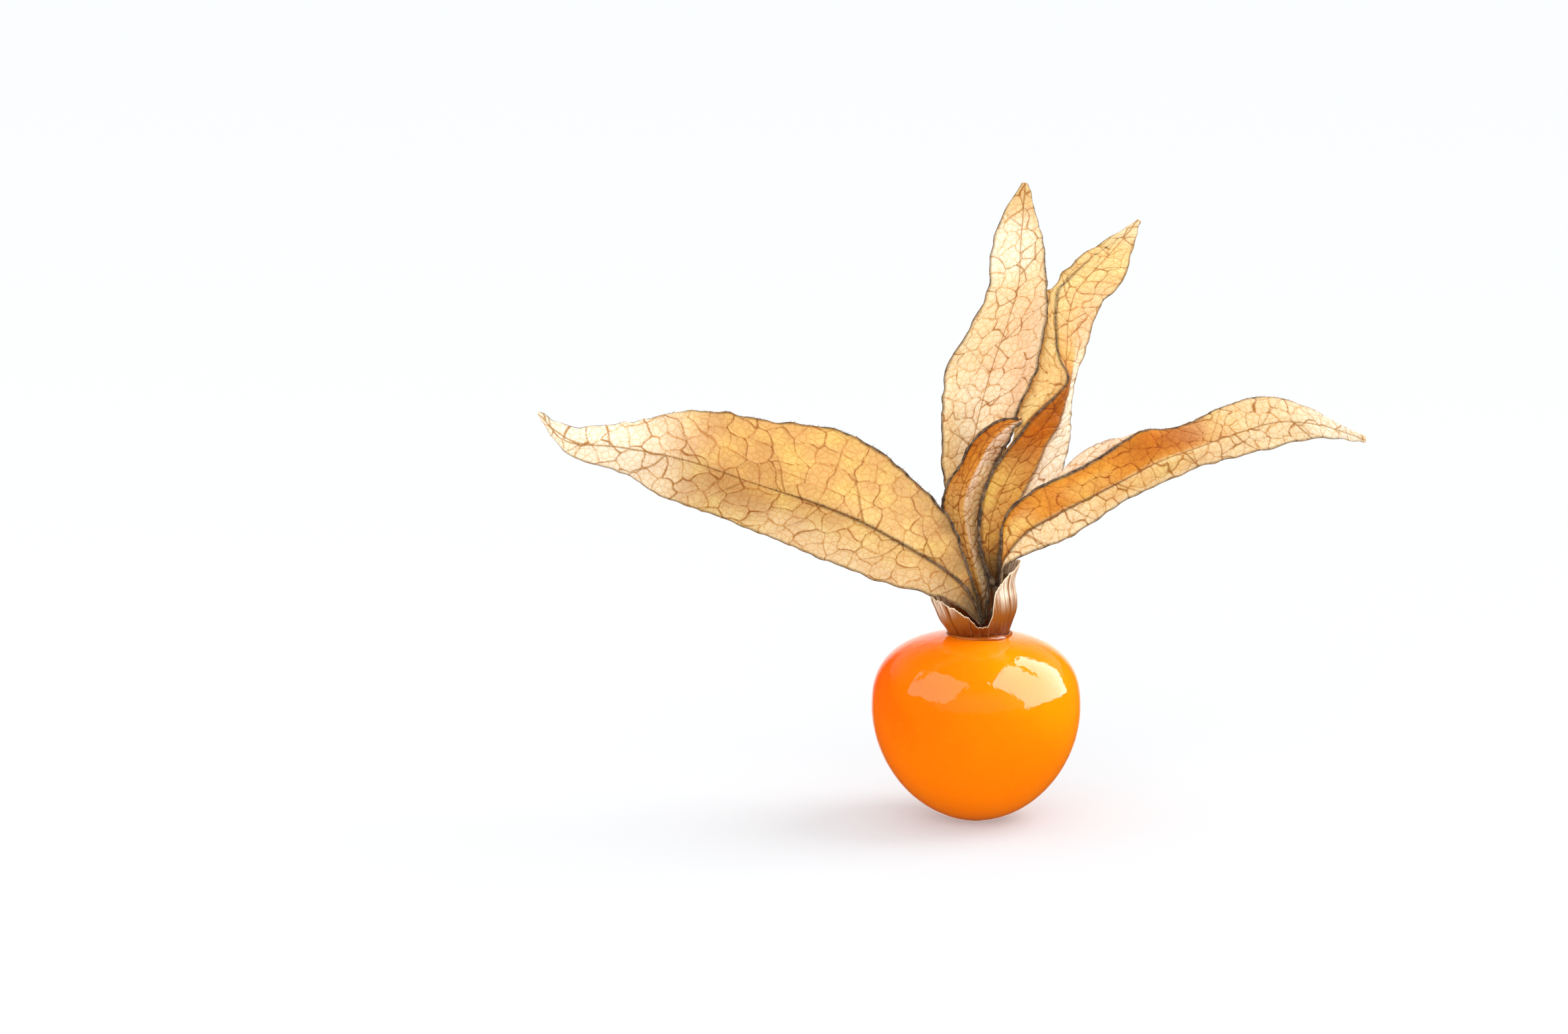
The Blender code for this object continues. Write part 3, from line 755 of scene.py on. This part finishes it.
def husk_material():
    """Dry papery skin: mottled tan with a net of veins in three sizes, specks, and light through it. Its
    stored colours also hold painted shade where the husk folds over itself and at the lobes' feet.
    """
    made, tree, shader = new_material("husk paper")
    uv = tree.nodes.new("ShaderNodeUVMap")
    uv.uv_map = "leaf"
    place = uv.outputs["UV"]
    grain = noise(tree, place, 6.0, 3.0, 0.6)
    warp = noise(tree, place, 1.4, 2.0)
    finest = cells(tree, shifted_places(tree, place, warp), 1.45, "DISTANCE_TO_EDGE")
    cloud = ranged(tree, noise(tree, place, 0.35, 4.0, 0.55), 0.4, 0.7, 0.0, 0.35)
    # The stored colours hold painted shade as well as the lobe's own tones.
    faded = mixed(tree, cloud, attribute(tree, "tone_and_shade", "Color"), (1.0, 0.93, 0.78), "OVERLAY")
    clear = ranged(tree, warp, 0.35, 0.62, 0.5, 1.0)
    small = ranged(tree, attribute(tree, "fine_vein"), 0.03, 0.12, 0.9, 0.0)
    colour = faded
    for share, stain in (
        (ranged(tree, grain, 0.35, 0.7, 0.0, 0.5), (0.94, 0.87, 0.74)),
        (ranged(tree, finest, 0.01, 0.10, 0.8, 0.0), (0.88, 0.72, 0.46)),
        (calculated(tree, "MULTIPLY", small, clear), (0.74, 0.50, 0.23)),
        (ranged(tree, attribute(tree, "vein"), 0.03, 0.13, 0.9, 0.0), (0.60, 0.40, 0.20)),
        (ranged(tree, attribute(tree, "rib"), 0.0, 0.25, 0.7, 0.0), (0.36, 0.26, 0.17)),
    ):
        colour = mixed(tree, share, colour, stain, "MULTIPLY")
    specks = ranged(tree, cells(tree, place, 1.7, "F1"), 0.03, 0.07, 0.75, 0.0)
    colour = mixed(tree, specks, colour, (0.20, 0.12, 0.05))
    tree.links.new(colour, shader.inputs["Base Color"])
    set_inputs(shader, {"Roughness": 0.62, "Specular IOR Level": 0.12})
    height = calculated(tree, "ADD", grain, ranged(tree, finest, 0.0, 0.3, 0.0, 1.5))
    normal = bumped(tree, shader, height, 0.5, 0.00004)
    let_light_through(tree, shader, colour, normal, 0.42)
    return made


def rib_material():
    """Woody grey-brown fibre of the ribs, stem and hairs."""
    made, tree, shader = new_material("rib fibre")
    coords = tree.nodes.new("ShaderNodeTexCoord").outputs["Object"]
    streaks = noise(tree, coords, 1800.0, 4.0, 0.65)
    share = ranged(tree, streaks, 0.35, 0.68)
    colour = mixed(tree, share, (0.045, 0.028, 0.018), (0.20, 0.13, 0.075))
    tree.links.new(colour, shader.inputs["Base Color"])
    set_inputs(shader, {"Roughness": 0.85, "Specular IOR Level": 0.1})
    bumped(tree, shader, streaks, 0.6, 0.00005)
    return made


def paint(red, green, blue):
    """A surface colour from screen values of 0 to 255."""
    return tuple(((c / 255 + 0.055) / 1.055) ** 2.4 for c in (red, green, blue))


CREAM = paint(250, 230, 190)
PALE_CREAM = paint(255, 248, 232)
STRAW = paint(247, 218, 155)
TAN = paint(224, 182, 118)
DULL_TAN = paint(212, 162, 94)
GOLD = paint(238, 196, 116)
# Painted shade: amber and deep amber stand for the darker look where the husk folds over itself and light
# comes through two layers.
FOLD_SHADE_AMBER = paint(228, 156, 56)
DEEP_FOLD_SHADE_AMBER = paint(200, 114, 14)
PEACH = paint(246, 212, 176)
PALE_PEACH = paint(252, 230, 206)
# Partly real stains and partly painted shade: these darken the lobes' feet, crowded at the collar, and the
# left lobe's upper edge near its foot, where it curves back.
OLIVE_STAIN_AND_SHADE = paint(160, 124, 70)
DARK_STAIN_AND_SHADE = paint(98, 70, 40)

# For each lobe: its CAD node, sections, place of the midrib across it, seed, size of its small vein cells in
# millimetres, height of the waves along its edges, ribs, strips and patches.
# A rib is its place across, its radius at the collar and at its end, and how far along it tapers.
# A strip is how far across the lobe it reaches and its colour.
# A patch is its centre along and across, its size along and across, its strength and its colour.
LOBES = {
    "husk_left": dict(
        node="husk_lobe_left",
        sections=LEFT_LOBE,
        midrib=0.5,
        seed=11,
        cell=1.9,
        curl=0.22,
        ribs=((0.0, 0.20, 0.04, 0.66), (0.5, 0.15, 0.01, 0.45), (1.0, 0.07, 0.04, 0.9)),
        strips=((1.0, TAN),),
        patches=(
            (0.42, 0.95, 0.34, 0.30, 0.75, CREAM),
            (0.50, 0.10, 0.16, 0.35, 0.6, GOLD),
            (0.28, 0.55, 0.10, 0.25, 0.6, STRAW),
            (0.60, 0.5, 0.10, 0.6, 0.6, DULL_TAN),
            (0.94, 0.5, 0.22, 0.9, 1.0, PALE_CREAM),
            # Painted shade: a darker patch along the upper edge near the foot, where the lobe curves back.
            (0.14, 0.0, 0.12, 0.14, 0.5, OLIVE_STAIN_AND_SHADE),
            # Partly stains and partly painted shade: the darker foot, where the lobes crowd at the collar.
            (0.0, 0.5, 0.13, 0.9, 0.75, OLIVE_STAIN_AND_SHADE),
            (0.0, 0.5, 0.07, 0.9, 0.7, DARK_STAIN_AND_SHADE),
        ),
    ),
    "husk_tall": dict(
        node="husk_lobe_tall",
        sections=TALL_LOBE,
        midrib=0.5,
        seed=42,
        cell=1.7,
        curl=0.18,
        ribs=((1.0, 0.17, 0.04, 0.8), (0.0, 0.08, 0.04, 0.9)),
        strips=((1.0, CREAM),),
        patches=(
            (0.56, 0.75, 0.16, 0.35, 0.7, PEACH),
            (0.84, 0.35, 0.07, 0.5, 0.8, PALE_CREAM),
            (0.40, 0.40, 0.14, 0.40, 0.6, PALE_CREAM),
            (0.30, 0.05, 0.16, 0.20, 0.6, STRAW),
            (0.99, 0.5, 0.07, 0.9, 0.7, TAN),
            # Partly stains and partly painted shade: the darker foot, where the lobes crowd at the collar.
            (0.0, 0.5, 0.20, 0.9, 0.9, OLIVE_STAIN_AND_SHADE),
        ),
    ),
    "husk_middle": dict(
        node="husk_pleat_middle",
        sections=MIDDLE_PLEAT,
        midrib=0.45,
        seed=73,
        cell=0.85,
        curl=0.05,
        ribs=((0.0, 0.19, 0.17, 0.9), (1.0, 0.17, 0.15, 0.9)),
        # Painted shade: the amber strip on the left part of the pleat, where it folds over itself.
        strips=((0.58, FOLD_SHADE_AMBER), (1.0, PALE_PEACH)),
        patches=(
            (0.45, 0.85, 0.3, 0.16, 0.6, GOLD),
            # Painted shade: a deep amber patch near the top of the folded left part.
            (0.86, 0.1, 0.2, 0.35, 0.8, DEEP_FOLD_SHADE_AMBER),
            (0.38, 0.25, 0.22, 0.5, 0.7, TAN),
            # Partly stains and partly painted shade: the darker foot, where the lobes crowd at the collar.
            (0.0, 0.5, 0.22, 0.9, 0.7, OLIVE_STAIN_AND_SHADE),
            (0.0, 0.5, 0.12, 0.9, 0.7, DARK_STAIN_AND_SHADE),
        ),
    ),
    "husk_upright": dict(
        node="husk_lobe_upright",
        sections=UPRIGHT_LOBE,
        midrib=0.5,
        seed=94,
        cell=1.4,
        curl=0.12,
        ribs=(
            (1 / 3, 0.22, 0.05, 0.8),
            (2 / 3, 0.12, 0.01, 0.5),
            (1.0, 0.05, 0.04, 0.9),
            (0.0, 0.03, 0.03, 0.9),
        ),
        # Painted shade: the amber strip between the fold rib and the middle rib, where the lobe lies over its
        # folded half.
        strips=((1 / 3, STRAW), (2 / 3, FOLD_SHADE_AMBER), (1.0, PALE_CREAM)),
        patches=(
            # Painted shade: a deep amber patch on that doubled strip.
            (0.42, 0.48, 0.13, 0.20, 1.0, DEEP_FOLD_SHADE_AMBER),
            (0.22, 0.5, 0.12, 0.16, 0.7, GOLD),
            (0.83, 0.5, 0.23, 2.0, 1.0, STRAW),
            (0.70, 0.85, 0.10, 0.3, 0.5, PEACH),
            (0.98, 0.5, 0.06, 2.0, 0.7, CREAM),
            # Partly stains and partly painted shade: the darker foot, where the lobes crowd at the collar.
            (0.0, 0.5, 0.12, 2.0, 0.8, OLIVE_STAIN_AND_SHADE),
            (0.0, 0.5, 0.07, 2.0, 0.7, DARK_STAIN_AND_SHADE),
        ),
    ),
    "husk_right": dict(
        node="husk_lobe_right",
        sections=RIGHT_LOBE,
        midrib=2 / 3,
        seed=125,
        cell=1.35,
        curl=0.14,
        ribs=(
            (1 / 3, 0.25, 0.05, 0.85),
            (2 / 3, 0.10, 0.01, 0.42),
            (0.0, 0.03, 0.03, 0.9),
            (1.0, 0.07, 0.04, 0.9),
        ),
        # Painted shade: the amber strip between the fold rib and the midrib, where the lobe lies over its
        # folded half.
        strips=((1 / 3, PALE_PEACH), (0.66, FOLD_SHADE_AMBER), (1.0, CREAM)),
        patches=(
            (0.16, 0.5, 0.05, 0.08, 0.5, GOLD),
            # Painted shade: a deep amber patch on that doubled strip.
            (0.58, 0.48, 0.09, 0.14, 0.85, DEEP_FOLD_SHADE_AMBER),
            (0.38, 0.56, 0.06, 0.10, 0.5, GOLD),
            (0.20, 0.55, 0.05, 0.10, 0.5, STRAW),
            (0.50, 0.80, 0.14, 0.14, 0.7, GOLD),
            (0.76, 0.50, 0.10, 0.25, 0.9, GOLD),
            (0.92, 0.6, 0.26, 2.0, 0.95, CREAM),
            (0.98, 0.6, 0.12, 2.0, 0.9, PALE_CREAM),
            # Partly stains and partly painted shade: the darker foot, where the lobes crowd at the collar.
            (0.0, 0.3, 0.12, 0.42, 0.7, OLIVE_STAIN_AND_SHADE),
            (0.0, 0.2, 0.07, 0.40, 0.7, DARK_STAIN_AND_SHADE),
        ),
    ),
}


def add_ribs(name, lobe, ribs, material):
    """The raised ribs of one lobe, as knotted fibres that follow its sheet."""
    points, faces = [], []
    for rib in ribs:
        path, _ = lobe.column(rib[0])
        along = np.linspace(0, 1, len(path))[::3]
        lumps = 1 + 0.22 * np.sin(along * 190) + 0.2 * np.sin(along * 83 + 1)
        added, skin = tube(path[::3], rib_radius(rib, along) * lumps, 8)
        faces += [tuple(corner + len(points) for corner in face) for face in skin]
        points += added.tolist()
    add_piece(name, np.array(points), faces, material)


def add_husk():
    """All the lobes with their ribs. Returns the lobes for the hairs."""
    paper = husk_material()
    fibre = rib_material()
    made = {}
    for name, plan in LOBES.items():
        lobe = Lobe(plan["sections"], plan["midrib"], plan["seed"], plan["curl"], plan["cell"])
        tone_and_shade = blended_tone(lobe.u, lobe.v, plan["strips"], plan["patches"])
        lobe.add(name, plan["node"], tone_and_shade, paper, plan["ribs"])
        add_ribs(name + "_ribs", lobe, plan["ribs"], fibre)
        made[name] = lobe
    return made


# ---- collar, juice, stem and hairs

# The cup's rings from foot to rim, as height, how far the middle is to the side, and radius.
COLLAR_RINGS = (
    (17.6, 0.25, 2.75),
    (18.2, 0.15, 3.0),
    (19.0, 0.0, 3.4),
    (20.2, -0.1, 3.85),
    (21.2, -0.3, 4.05),
    (22.7, -0.3, 3.85),
    (24.8, -0.3, 4.45),
)
COLLAR_WALL = 0.4
COLLAR_GRID = (70, 420)
# Height of the rim at angles measured from +X; the torn notch is the low point at the front.
COLLAR_RIM = (
    (-86, 18.95),
    (-70, 19.6),
    (-62, 21.7),
    (-52, 22.9),
    (-34, 23.9),
    (-18, 24.4),
    (15, 24.6),
    (50, 24.0),
    (110, 22.6),
    (175, 21.4),
    (228, 21.0),
    (252, 20.1),
)


def collar_rim_heights(degrees):
    """Height of the cup's rim at angles in degrees, smooth all the way round."""
    angles, heights = np.array(COLLAR_RIM, float).T
    knots = np.concatenate([angles[-2:] - 360, angles, angles[:2] + 360])
    levels = np.concatenate([heights[-2:], heights, heights[:2]])
    return smooth_curve(knots, levels[:, None], degrees)[:, 0]


def collar_creases(angle, rise):
    """How far the collar's folds and its fibres stand out, each from 0 to 1."""
    wide = np.abs(np.sin(angle * 9 + 1.2 * np.sin(angle * 4 + 1) + 0.08 * rise)) ** 0.7
    fine = np.abs(np.sin(angle * 19 + 1.5 * np.sin(angle * 5 + 2) + 0.12 * rise))
    fibres = np.sin(angle * 61 + 2.0 * np.sin(angle * 7) + 0.3 * rise) * 0.5 + 0.5
    return 0.6 * wide + 0.4 * fine, fibres


def add_collar():
    """The cup at the husk's foot: swollen and creased, thick at its foot and thin at its torn rim."""
    rows, columns = COLLAR_GRID
    degrees = -90 + 360 * np.arange(columns) / columns
    angle = np.radians(degrees)
    ragged = 0.07 * np.sin(angle * 17) + 0.05 * np.sin(angle * 41 + 1) + 0.04 * np.sin(angle * 97)
    rim = collar_rim_heights(degrees) + ragged
    foot = COLLAR_RINGS[0][0]
    share = np.linspace(0, 1, rows)[:, None]
    height = foot + share * (rim - foot)
    rise = height - foot
    shape = np.array(COLLAR_RINGS)
    cup = smooth_curve(shape[:, 0], shape[:, 1:], height.ravel())
    middle, radius = cup.reshape(rows, columns, 2).transpose(2, 0, 1)
    creases, fibres = collar_creases(angle, rise)
    radius = radius + (0.15 * creases + 0.035 * fibres - 0.12) * np.clip(share * 3, 0.2, 1)
    wall = COLLAR_WALL * (1 - 0.7 * share)
    rings = []
    for out in (0.0, 1.0):
        wide = radius - out * wall
        rings.append(np.stack([middle + wide * np.cos(angle), wide * np.sin(angle), height], axis=-1))
    outside, inside = rings
    points = np.concatenate([outside.reshape(-1, 3), inside[::-1].reshape(-1, 3)])
    faces = grid_faces(2 * rows, columns, wrap=True, closed=True)
    made = add_piece("collar", points, faces, collar_material(), ("calyx_collar",))
    stored = {
        "streak": creases * (0.5 + 0.5 * fibres),
        "to_rim": share + 0 * angle,
        "dry": rise + 1.6 * np.clip(-np.cos(angle), 0, 1) ** 2,
    }
    for name, values in stored.items():
        put_values(made, name, np.concatenate([values, values[::-1]]))


def collar_material():
    """Moist amber-brown flesh that dries to pale fibres towards the rim, with painted shade in the grooves
    between its folds.
    """
    made, tree, shader = new_material("collar flesh")
    coords = tree.nodes.new("ShaderNodeTexCoord").outputs["Object"]
    stretched = tree.nodes.new("ShaderNodeMapping")
    stretched.inputs["Scale"].default_value = (1.0, 1.0, 0.15)
    tree.links.new(coords, stretched.inputs["Vector"])
    fibres = noise(tree, stretched.outputs["Vector"], 2200.0, 4.0, 0.6)
    dry, streak = attribute(tree, "dry"), attribute(tree, "streak")
    base = mixed(tree, ranged(tree, dry, 0.5, 2.6), paint(100, 40, 3), paint(148, 88, 26))
    # Painted shade: the grooves between the folds are darkened.
    grooved = mixed(tree, ranged(tree, streak, 0.05, 0.3, 0.7, 0.0), base, (0.5, 0.34, 0.22), "MULTIPLY")
    ridges = ranged(tree, streak, 0.15, 0.75, 0.0, 0.9)
    pale = calculated(tree, "MULTIPLY", ridges, ranged(tree, dry, 2.3, 4.7))
    streaked = mixed(tree, pale, grooved, paint(246, 232, 206))
    colour = mixed(tree, ranged(tree, fibres, 0.45, 0.7, 0.0, 0.6), streaked, paint(140, 84, 40))
    edge = mixed(tree, ranged(tree, attribute(tree, "to_rim"), 0.955, 0.99), colour, (0.80, 0.68, 0.48))
    tree.links.new(edge, shader.inputs["Base Color"])
    set_inputs(shader, {"Roughness": 0.25, "Specular IOR Level": 0.15})
    bumped(tree, shader, fibres, 0.5, 0.00008)
    return made


JUICE_LEVEL = 17.72
JUICE_RADIUS = 0.24
JUICE_GRID = (14, 160)
# Where the juice gathers in a drop, as an angle from +X, and half the drop's width as an angle.
DROP_ANGLE = math.radians(300)
DROP_WIDTH = 0.35
DROP_SIZE = 0.36


def add_juice():
    """The bead of juice that fills the corner between the collar's foot and the fruit."""
    rows, columns = JUICE_GRID
    turn = np.linspace(0, math.tau, columns, endpoint=False)
    section = np.linspace(0, math.tau, rows, endpoint=False)
    drop = np.exp(-(((turn - DROP_ANGLE) / DROP_WIDTH) ** 2))
    size = JUICE_RADIUS + 0.07 * np.sin(turn * 3 + 1) + 0.05 * np.sin(turn * 7) + DROP_SIZE * drop
    _, middle, foot_radius = COLLAR_RINGS[0]
    wide = foot_radius + 0.12 + np.outer(np.cos(section), size)
    high = JUICE_LEVEL + 0.65 * np.outer(np.sin(section), size)
    points = np.stack([middle + wide * np.cos(turn), wide * np.sin(turn), high], axis=-1)
    faces = grid_faces(rows, columns, wrap=True, flip=True, closed=True)
    add_piece("juice", points.reshape(-1, 3), faces, juice_material())


def juice_material():
    """Dark, clouded and wet: a real bead of juice, whose dark brown is painted shade of the corner between
    the collar's foot and the fruit.
    """
    made, tree, shader = new_material("juice")
    coords = tree.nodes.new("ShaderNodeTexCoord").outputs["Object"]
    cloud = noise(tree, coords, 900.0, 2.0)
    # Painted shade: the bead's dark brown stands for the shaded corner under the collar's foot.
    colour = mixed(tree, cloud, (0.16, 0.03, 0.002), (0.50, 0.12, 0.008))
    tree.links.new(colour, shader.inputs["Base Color"])
    set_inputs(shader, {"Roughness": 0.04, "IOR": 1.36})
    return made


STEM_PATH = ((0.3, 0.5, 19.0), (0.2, 0.7, 22.4), (-0.2, 1.1, 25.5), (-0.2, 1.3, 32.0))
STEM_RADIUS = 0.6305
STEM_RINGS = 90
STEM_SIDES = 40


def add_stem(material):
    """The stalk: grooved along its length, with a rough cut end."""
    path = np.array(STEM_PATH)
    knots = travelled(path)
    rows = smooth_curve(knots, path, np.linspace(0, knots[-1], STEM_RINGS))
    turn = np.linspace(0, math.tau, STEM_SIDES, endpoint=False)
    grooves = 1 - 0.09 * np.abs(np.sin(turn * 4)) + 0.03 * np.sin(turn * 11)
    taper = np.linspace(1.0, 0.86, STEM_RINGS)
    taper[-1] = 0.7
    points, faces = tube(rows, STEM_RADIUS * np.outer(taper, grooves), STEM_SIDES)
    add_piece("stem_stalk", points, faces, material, ("stem",))


HAIR_RADIUS = 0.018
HAIR_LENGTHS = (0.22, 0.6)
HAIRS_PER_POINT = 2.4
# A rib thinner than this at the collar has no hairs.
HAIRY_RIB = 0.13


def spikes(roots, directions, lengths, radius):
    """Thin three-sided hairs that bend a little over their length."""
    side = unit(np.cross(directions, RNG.normal(size=directions.shape)))
    other = np.cross(directions, side)
    bend = side * (lengths * RNG.uniform(-0.3, 0.3, len(roots)))[:, None]
    corners = []
    for share, wide in ((0.0, 1.0), (0.55, 0.7)):
        centre = roots + directions * (lengths * share)[:, None] + bend * share**2
        for turn in (0, math.tau / 3, 2 * math.tau / 3):
            corners.append(centre + (side * math.cos(turn) + other * math.sin(turn)) * radius * wide)
    corners.append(roots + directions * lengths[:, None] + bend)
    points = np.stack(corners, axis=1)
    edges = ((0, 1), (1, 2), (2, 0))
    hair = [face for a, b in edges for face in ((a, b, b + 3), (a, b + 3, a + 3))]
    hair += [(a + 3, b + 3, 6) for a, b in edges] + [(2, 1, 0)]
    faces = np.array(hair)[None] + 7 * np.arange(len(roots))[:, None, None]
    return points.reshape(-1, 3), faces.reshape(-1, 3)


def add_hairs(lobes, material):
    """Short hairs along the ribs, longest and thickest around the collar."""
    roots, directions, lengths = [], [], []
    for name, lobe in lobes.items():
        for rib in LOBES[name]["ribs"]:
            if rib[1] < HAIRY_RIB:
                continue
            path, normals = lobe.column(rib[0])
            count = int(len(path) * HAIRS_PER_POINT)
            share = RNG.uniform(0, 1, count) ** 1.7 * 0.85
            index = (share * (len(path) - 1)).astype(int)
            lean = RNG.normal(size=(count, 3)) * 0.8
            facing = normals[index] * RNG.choice([-1, 1], count)[:, None] + lean
            roots.append(path[index])
            directions.append(unit(facing))
            lengths.append(RNG.uniform(*HAIR_LENGTHS, count) * (1.25 - share))
    hairs = [np.concatenate(parts) for parts in (roots, directions, lengths)]
    points, faces = spikes(*hairs, HAIR_RADIUS)
    add_piece("hairs", points, faces, material)


# ---- the whole


add_camera()
add_world()
add_floor()
add_lights()
add_berry()
lobes = add_husk()
add_collar()
add_juice()
fibre = bpy.data.materials["rib fibre"]
add_stem(fibre)
add_hairs(lobes, fibre)
